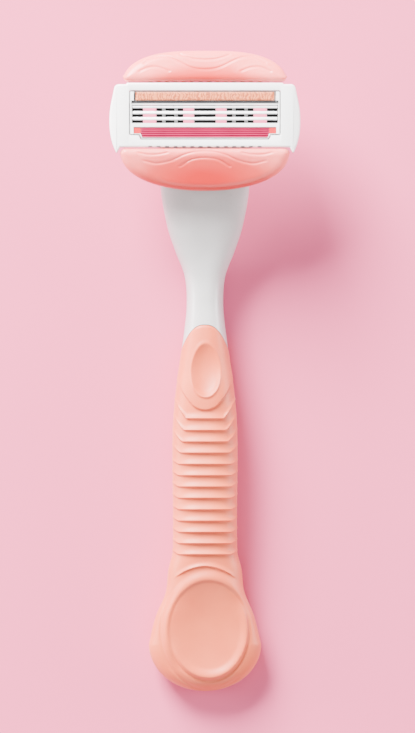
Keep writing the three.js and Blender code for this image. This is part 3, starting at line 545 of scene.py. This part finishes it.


# ---- Blade housing ----
# White ABS tray in the frame's window, with rinse openings through its floor, a near-black plate between them
# as painted shade for the well that the gaps between the blades look into, and the bearing drums and cam on
# its back.
def softened(node, name, body, slot, look, width, angle=30):
    """A merged copy of a CAD node with its edges rounded as its mould leaves them, width in mm."""
    bpy.ops.object.select_all(action="DESELECT")
    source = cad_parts[node]
    made = bpy.data.objects.new(name, source.data.copy())
    bpy.context.collection.objects.link(made)
    made.select_set(True)
    bpy.context.view_layer.objects.active = made
    bpy.ops.object.mode_set(mode="EDIT")
    bpy.ops.mesh.select_all(action="SELECT")
    bpy.ops.mesh.remove_doubles(threshold=1e-6)
    bpy.ops.mesh.dissolve_limited(angle_limit=math.radians(1))
    bpy.ops.object.mode_set(mode="OBJECT")
    rounding = made.modifiers.new("rounding", "BEVEL")
    rounding.width = width * MM
    rounding.segments = 3
    rounding.limit_method = "ANGLE"
    rounding.angle_limit = math.radians(angle)
    bpy.ops.object.modifier_apply(modifier=rounding.name)
    bpy.ops.object.shade_smooth_by_angle(angle=math.radians(35))
    return fit(made, body, slot, look, node)


housing = softened("blade_housing", "housing", "cartridge", "white_plastic", polished_abs, 0.08)
STRIP_MOAT = [((-17.2, 2.66, -1.3), (17.2, 3.39, 1)), ((16.2, 3.3, -1.2), (16.6, 5.35, 1)),
              ((-16.6, 3.3, -1.2), (-16.2, 5.35, 1)), ((-16.6, 5.36, -1.2), (16.6, 5.6, 1))]
for low_corner, high_corner in STRIP_MOAT:  # the sunk band round the strip
    carve(housing, box_piece("moat", low_corner, high_corner, to_head))
# A ledge behind the gap round the tray closes it, and a land fills the tray behind the last blade
ledge = slab("ledge", window_outline(0.04), -1.7, -2.4)
carve(ledge, slab("ledge_middle", window_outline(0.7), 0, -4))
carve(ledge, box_piece("land", (-17.0, 2.40, -1.2), (17.0, 2.64, -0.28), to_head), "UNION")
fit(ledge, "cartridge", "white_plastic", polished_abs)
# Dark grey plate, matt, in the sunk band between the blades and the strip: painted shade for the band's
# recess
band_painted_shade = finish_of("grey_plate_painted_shade", "#38383A", "#424244", 0.6, 0.4, 0.004, 3)
fit(box_piece("strip_band_painted_shade", (-17.15, 2.69, -1.28), (17.15, 3.37, -0.6), to_head), "cartridge", "grey_plastic",
    band_painted_shade)
# Near-black polymer plate, matt, at the bottom of the well: painted shade for the well's depth
well_painted_shade = finish_of("near_black_plate_painted_shade", "#060606", "#0B0B0B", 0.75, 0.4, 0.004, 3)
WELL = [(-2.5, 2.5), (5.05, 11.35), (-11.35, -5.05), (14.45, 17.05), (-17.05, -14.45)]
well = None
for low_x, high_x in WELL:
    part = box_piece("well_floor_painted_shade", (low_x, -1.87, -2.88), (high_x, 2.67, -2.72), to_head)
    if well is None:
        well = part
    else:
        carve(well, part, "UNION")
pick_edges(well, lambda a, b: min(a.z, b.z) > -2.75)
bevel_picked(0.05, 2)
fit(well, "cartridge", "grey_plastic", well_painted_shade)


# ---- Lubricating strip ----
# Extruded water-soluble polymer with a wavy grain, peach, pressed into its channel behind the last blade.
bpy.ops.object.select_all(action="DESELECT")
bpy.ops.mesh.primitive_grid_add(x_subdivisions=260, y_subdivisions=16, size=1)
strip = bpy.context.object
strip.name = "strip"
STRIP_X, STRIP_LOW, STRIP_HIGH, STRIP_TOP, STRIP_DEPTH = 16.15, 3.45, 5.35, -0.15, 1.5
for vertex in strip.data.vertices:
    x, y = vertex.co.x * 2, vertex.co.y * 2
    edge = min(1 - abs(y), (1 - abs(x)) * 10, 0.35)
    drop = 0.12 * (1 - edge / 0.35) ** 2
    wave = 0.03 * math.sin(x * 60 + 3 * math.sin(x * 17) + 2.2 * y) * math.sin(y * 5 + x * 9)
    middle = (STRIP_LOW + STRIP_HIGH) / 2
    vertex.co = to_head @ (Vector((x * STRIP_X, middle + y * (STRIP_HIGH - STRIP_LOW) / 2,
                                  STRIP_TOP - drop + wave)) * MM)
bpy.ops.object.mode_set(mode="EDIT")
bpy.ops.mesh.select_all(action="SELECT")
bpy.ops.mesh.extrude_region_move(TRANSFORM_OT_translate={"value": (0, 0, -STRIP_DEPTH * MM)})
bpy.ops.mesh.select_all(action="SELECT")
bpy.ops.mesh.normals_make_consistent(inside=False)
bpy.ops.object.mode_set(mode="OBJECT")
bpy.ops.object.shade_smooth_by_angle(angle=math.radians(50))
# Extruded polymer: peach with a curly grain of darker flow lines about 0.5 mm apart
strip_look = bpy.data.materials.new("extruded_lubricating_polymer")
strip_look.use_nodes = True
tree = strip_look.node_tree
shader = tree.nodes["Principled BSDF"]
place = add_node(tree, "TexCoord").outputs["Object"]
flow = add_node(tree, "TexWave", {"Vector": place, "Scale": 420.0, "Distortion": 12.0, "Detail": 3.0,
                                  "Detail Scale": 1.6})
tint = add_node(tree, "ValToRGB", {"Fac": flow.outputs["Fac"]},
                stops=[(0.1, linear("#A84E2A")), (0.7, linear("#DC7A4A"))])
tree.links.new(tint.outputs["Color"], shader.inputs["Base Color"])
grain = add_node(tree, "Bump", {"Height": flow.outputs["Fac"], "Strength": 0.8, "Distance": 0.05 * MM})
tree.links.new(grain.outputs["Normal"], shader.inputs["Normal"])
shader.inputs["Roughness"].default_value = 0.55
fit(strip, "cartridge", "strip_polymer", strip_look, "lubricating_strip")


# ---- Guard ----
# Hot pink elastomer moulded into the housing ahead of the first blade: five fine fins along it, and a
# plain pale block at each end.
GUARD_LOW, GUARD_HIGH, GUARD_X, GUARD_NARROW, GUARD_TOP = -5.3, -2.85, 16.6, 14.55, -0.25
FINS = 5
bpy.ops.object.select_all(action="DESELECT")
bpy.ops.mesh.primitive_grid_add(x_subdivisions=84, y_subdivisions=60, size=1)
guard = bpy.context.object
guard.name = "guard"
for vertex in guard.data.vertices:
    x, y = vertex.co.x * 2 * (GUARD_X + 0.5), vertex.co.y + 0.5
    fin = abs(math.sin(math.pi * y * FINS)) ** 0.7
    block = 1.0 if abs(x) > 15.0 else 0.0
    z = GUARD_TOP - 0.42 * (1 - fin) * (1 - block) - 0.1 * block
    vertex.co = to_head @ (Vector((x, GUARD_LOW + y * (GUARD_HIGH - GUARD_LOW), z)) * MM)
bpy.ops.object.mode_set(mode="EDIT")
bpy.ops.mesh.select_all(action="SELECT")
bpy.ops.mesh.extrude_region_move(TRANSFORM_OT_translate={"value": (0, 0, -0.9 * MM)})
bpy.ops.mesh.select_all(action="SELECT")
bpy.ops.mesh.normals_make_consistent(inside=False)
bpy.ops.object.mode_set(mode="OBJECT")
guard_outline = [(0, GUARD_HIGH), (GUARD_X, GUARD_HIGH), (GUARD_X, -4.3), (14.95, -4.3),
                 (GUARD_NARROW, GUARD_LOW), (0, GUARD_LOW)]
carve(guard, slab("guard_outline", guard_outline, 1, -1.5), "INTERSECT")
bpy.ops.object.shade_smooth_by_angle(angle=math.radians(40))
# Moulded elastomer: saturated pink, paler in the end blocks
pink_tpe = finish_of("moulded_pink_elastomer", "#9A003E", "#A80046", 0.5, 0.3, 0.004, 4, IOR=1.5,
                      Specular_IOR_Level=0.25)
tree = pink_tpe.node_tree
shader = tree.nodes["Principled BSDF"]
cloudy = shader.inputs["Base Color"].links[0].from_socket
place = add_node(tree, "TexCoord").outputs["Object"]
apart = add_node(tree, "SeparateXYZ", {"Vector": place})
reach = add_node(tree, "Math", {0: apart.outputs["X"]}, operation="ABSOLUTE")
at_end = add_node(tree, "Math", {0: reach.outputs["Value"], 1: 15.0 * MM}, operation="GREATER_THAN")
ends = add_node(tree, "Mix", {0: at_end.outputs["Value"], 6: cloudy, 7: linear("#CC1826")}, data_type="RGBA")
tree.links.new(ends.outputs[2], shader.inputs["Base Color"])
fit(guard, "cartridge", "pink_elastomer", pink_tpe, "guard_fins")


# ---- Blades and their supports ----
# Three ground stainless strips, each laser-welded to a bent support. One blade is modelled, with its
# ground facet, and copied at the blade pitch.
BLADE_X, BLADE_WIDTH, BLADE_THICK, BLADE_TILT = 16.9, 0.69, 0.1, math.radians(21.5)
blade = box_piece("blade", (-BLADE_X, 0, -BLADE_THICK), (BLADE_X, BLADE_WIDTH, 0))
bpy.ops.object.mode_set(mode="EDIT")
bpy.ops.mesh.select_all(action="SELECT")
bpy.ops.mesh.bisect(plane_co=(0, 0.3 * MM, 0), plane_no=(0, 1, 0))
bpy.ops.object.mode_set(mode="OBJECT")
for vertex in blade.data.vertices:  # the ground facet runs down to the edge
    if vertex.co.y < 0.01 * MM:
        vertex.co.z = vertex.co.z * 0.06 - 0.047 * MM
# Ground stainless steel: bright, brushed along the blade
steel = bpy.data.materials.new("ground_blade_steel")
steel.use_nodes = True
tree = steel.node_tree
shader = tree.nodes["Principled BSDF"]
shader.inputs["Metallic"].default_value = 1.0
shader.inputs["Base Color"].default_value = linear("#F4F4F6")
place = add_node(tree, "TexCoord").outputs["Object"]
along = add_node(tree, "Mapping", {"Vector": place, "Scale": (200.0, 9000.0, 9000.0)})
lines = add_node(tree, "TexNoise", {"Vector": along.outputs["Vector"], "Scale": 1.0, "Detail": 2.0})
gloss = add_node(tree, "MapRange", {"Value": lines.outputs["Fac"], "To Min": 0.22, "To Max": 0.42})
tree.links.new(gloss.outputs["Result"], shader.inputs["Roughness"])
# Stamped stainless strip: dull, with rolling marks, and darker than bare steel as painted shade for the gaps
# between the blades
dull_steel_painted_shade = finish_of("stamped_stainless_painted_shade", "#6C6E72", "#7C7E82", 0.42, 0.2, 0.002, 2, Metallic=1.0)
tilt = Matrix.Rotation(-BLADE_TILT, 4, "X")
support = box_piece("support", (-16.4, 0.24, -0.34), (16.4, 0.68, -0.14), tilt)
carve(support, box_piece("leg", (-17.2, 0.42, -1.9), (17.2, 0.6, -0.36)), "UNION")
for low_x, high_x in [(2.6, 5.0), (11.4, 14.4), (-5.0, -2.6), (-14.4, -11.4)]:
    carve(support, box_piece("opening", (low_x, 0, -1.65), (high_x, 1, -0.8)))
for number, edge_y in enumerate((-1.15, 0.25, 1.65), 1):
    for source, look, node, slot, turn in [
            (blade, steel, "blade", "blade_steel", tilt),
            (support, dull_steel_painted_shade, "blade_support", "support_steel", Matrix())]:
        copy = bpy.data.objects.new(f"{source.name}_strip_{number}", source.data.copy())
        bpy.context.collection.objects.link(copy)
        copy.data.transform(to_head @ Matrix.Translation((0, edge_y * MM, -0.45 * MM)) @ turn)
        fit(copy, f"blade_unit_{number}", slot, look, f"{node}_{number}")
bpy.data.objects.remove(blade)
bpy.data.objects.remove(support)


# ---- Gel bars ----
# Cast translucent shaving soap on a plastic carrier, above and below the blades. The face is pillowed,
# rolls over at its edge, and carries soft sunk wave lines.
BARS = {  # half length, height, squareness across and along, rail edge, way out from it, rise, wave lines
    "upper": {"half": 19.15, "height": 7.25, "square": (3.0, 2.0), "rail": 7.8, "way": 1, "rise": 0.9,
              "waves": [
                  [(0, 72.75), (2.5, 72.95), (4.2, 73.4), (5.8, 74.05)],
                  [(0, 70.5), (2.0, 70.65), (3.8, 71.15), (6.3, 72.4), (8.5, 73.3), (10.6, 73.5),
                   (12.4, 73.0), (14.2, 72.0)],
                  [(8.4, 70.1), (10.2, 70.8), (11.95, 71.1), (13.6, 70.8), (15.3, 70.0)]]},
    "lower": {"half": 19.8, "height": 9.9, "square": (2.1, 2.45), "rail": -7.75, "way": -1, "rise": 0.6,
              "waves": [
                  [(8.7, 51.1), (10.6, 50.7), (12.7, 50.6), (14.2, 50.75), (15.6, 51.1)],
                  [(0, 51.45), (2.6, 51.2), (5.05, 50.5), (7.0, 49.6), (8.7, 49.0), (10.4, 48.65),
                   (11.8, 48.6), (14.2, 49.2)],
                  [(0, 49.9), (1.8, 49.75), (3.5, 49.3), (5.8, 47.9)]]},
}


def distance_to(points, x, y):
    """Least distance from each place to a chain of points."""
    least = np.full_like(x, 1e9)
    for (ax, ay), (bx, by) in zip(points, points[1:]):
        square = (bx - ax) ** 2 + (by - ay) ** 2 + 1e-12
        t = np.clip(((x - ax) * (bx - ax) + (y - ay) * (by - ay)) / square, 0, 1)
        least = np.minimum(least, np.hypot(x - ax - t * (bx - ax), y - ay - t * (by - ay)))
    return least


def gel_bar(name, bar):
    """A pillow over the bar's outline, with wave lines sunk in its face, closed by a flat back."""
    half, height, way = bar["half"], bar["height"], bar["way"]
    across, along = bar["square"]
    up = height * np.sin(np.linspace(0.045, math.pi / 2, 70))
    out = half * (1 - (up / height) ** along) ** (1 / across)
    corner = 1.3
    bend = np.linspace(0.1, math.pi / 2, 10)
    side = [(half - corner * (1 - math.sin(a)), corner * (1 - math.cos(a))) for a in bend]
    side += [(x, y) for x, y in zip(out, up) if y > corner + 0.2]
    rail_edge = [(x, 0) for x in np.linspace(0, half - corner, 40)]
    right = rail_edge + side
    ring_points = right + [(-x, y) for x, y in reversed(right[1:-1])]
    closed = np.array(ring_points + ring_points[:1])
    step = np.r_[0, np.cumsum(np.hypot(*np.diff(closed, axis=0).T))]
    top_rings, side_rings, base_rings = 66, 14, 6
    roll = 2.2
    middle = np.array([0.0, height * 0.42])
    waves = []
    for wave in bar["waves"]:
        fine_x = np.linspace(wave[0][0], wave[-1][0], 8 * len(wave))
        waves.append(list(zip(fine_x, curve_through(wave)(fine_x))))

    def place_bar(ring, turn):
        length = turn * step[-1]
        rim = np.c_[np.interp(length, step, closed[:, 0]), np.interp(length, step, closed[:, 1])]
        reach = np.clip(ring / top_rings, 0, 1)
        reach = np.where(ring > top_rings + side_rings,
                         1 - (ring - top_rings - side_rings) / base_rings, reach)
        at = middle + (rim - middle) * reach[:, None]
        x, y = at[:, 0], at[:, 1]
        inward = distance_to([tuple(p) for p in closed], x, y)
        inward = np.where(reach > 0.999, 0, inward)
        share = np.clip(1 - inward / roll, 0, 1)
        top = bar["rise"] - 1.6 * (1 - np.sqrt(1 - share ** 2.4)) - 0.26 * y
        row_y = HEAD_Y + bar["rail"] + way * y
        for wave in waves:
            gap = distance_to(wave, np.abs(x), row_y)
            top = top - 0.17 * np.exp(-(gap / 0.22) ** 2) + 0.03 * np.exp(-((gap - 0.55) / 0.3) ** 2)
        bottom = -4.15 - 0.1 * y
        wall = np.clip((ring - top_rings) / side_rings, 0, 1)
        z = np.where(ring <= top_rings, top, top + (bottom - top) * wall)
        z = np.where(ring > top_rings + side_rings, bottom, z)
        return x, row_y, z + FACE_Z

    return formed(name, top_rings + side_rings + base_rings, 420, place_bar)


def soap_painted_shade_look(name, centre, radii, deep_painted_shade):
    """Cast salmon soap, glossy as if wiped wet; painted shade deepens it round a low point, painted light
    pales its top and ends.
    """
    made = bpy.data.materials.new(name)
    made.use_nodes = True
    tree = made.node_tree
    shader = tree.nodes["Principled BSDF"]
    place = add_node(tree, "TexCoord").outputs["Object"]
    shift = [-c / r for c, r in zip(centre, radii)]
    spread = add_node(tree, "Mapping", {
        "Vector": place, "Location": (shift[0], shift[1], 0.0),
        "Scale": (1 / (radii[0] * MM), 1 / (radii[1] * MM), 0.0)})
    painted_shade_ball = add_node(tree, "TexGradient", {"Vector": spread.outputs["Vector"]}, gradient_type="SPHERICAL")
    clouds = add_node(tree, "TexNoise", {"Vector": place, "Scale": 250.0, "Detail": 3.0})
    both = add_node(tree, "Math", {0: clouds.outputs["Fac"], 1: 0.16, 2: painted_shade_ball.outputs["Fac"]},
                    operation="MULTIPLY_ADD")
    tint = add_node(tree, "ValToRGB", {"Fac": both.outputs["Value"]},
                    stops=[(0.1, linear("#FF7C76")), (0.9, linear(deep_painted_shade)), (0.45, linear("#D84840"))])
    tree.links.new(tint.outputs["Color"], shader.inputs["Base Color"])
    fine = add_node(tree, "TexNoise", {"Vector": place, "Scale": 2200.0, "Detail": 2.0})
    bump = add_node(tree, "Bump", {"Height": fine.outputs["Fac"], "Strength": 1.0, "Distance": 0.004 * MM})
    tree.links.new(bump.outputs["Normal"], shader.inputs["Normal"])
    shader.inputs["Roughness"].default_value = 0.34
    shader.inputs["IOR"].default_value = 1.46
    shader.inputs["Subsurface Weight"].default_value = 0.5
    shader.inputs["Subsurface Radius"].default_value = (0.0025, 0.0008, 0.0006)
    shader.inputs["Subsurface Scale"].default_value = 1.0
    return made


# Where each bar's painted shade is deepest, how far it spreads, and its deepest colour
upper_soap = soap_painted_shade_look("cast_salmon_soap_upper", (0, 67.0), (16, 5.5), "#C8241E")
lower_soap = soap_painted_shade_look("cast_salmon_soap_lower", (0, 44.8), (21, 7.5), "#C8201E")
fit(gel_bar("upper_bar_soap", BARS["upper"]), "upper_bar", "salmon_gel", upper_soap, "upper_gel_bar")
fit(gel_bar("lower_bar_soap", BARS["lower"]), "lower_bar", "salmon_gel", lower_soap, "lower_gel_bar")
softened("upper_bar_carrier", "upper_carrier", "upper_bar", "white_plastic", white_abs_painted_shade, 0.12)
softened("lower_bar_carrier", "lower_carrier", "lower_bar", "white_plastic", white_abs_painted_shade, 0.12)


# ---- Yoke, dock and release ----
# The yoke is white ABS; the dock, plunger, button and fork behind it are pale grey acetal, slippery and
# slightly waxy. The spring is bright drawn wire.
softened("yoke", "yoke_body", "yoke", "white_plastic", white_abs_painted_shade, 0.3)
# Moulded acetal: pale grey, waxy
grey_acetal = finish_of("moulded_grey_acetal", "#B9BBBD", "#C4C6C8", 0.38, 0.5, 0.004, 4, IOR=1.48)
softened("dock", "dock_insert", "handle", "grey_plastic", grey_acetal, 0.15)
softened("release_button", "button_pad", "button", "grey_plastic", grey_acetal, 0.2, 20)
softened("ejector_fork", "fork", "button", "grey_plastic", grey_acetal, 0.12)
softened("plunger", "plunger_bar", "plunger", "grey_plastic", grey_acetal, 0.15)
wire = finish_of("drawn_spring_wire", "#8A8C90", "#9A9CA0", 0.3, 0.2, 0.001, 1, Metallic=1.0)
spring = bpy.data.objects.new("spring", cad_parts["plunger_spring"].data.copy())
bpy.context.collection.objects.link(spring)
bpy.ops.object.select_all(action="DESELECT")
spring.select_set(True)
bpy.context.view_layer.objects.active = spring
bpy.ops.object.mode_set(mode="EDIT")
bpy.ops.mesh.select_all(action="SELECT")
bpy.ops.mesh.remove_doubles(threshold=1e-6)
bpy.ops.object.mode_set(mode="OBJECT")
bpy.ops.object.shade_smooth_by_angle(angle=math.radians(60))
fit(spring, "handle", "spring_steel", wire, "plunger_spring")
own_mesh(spring)
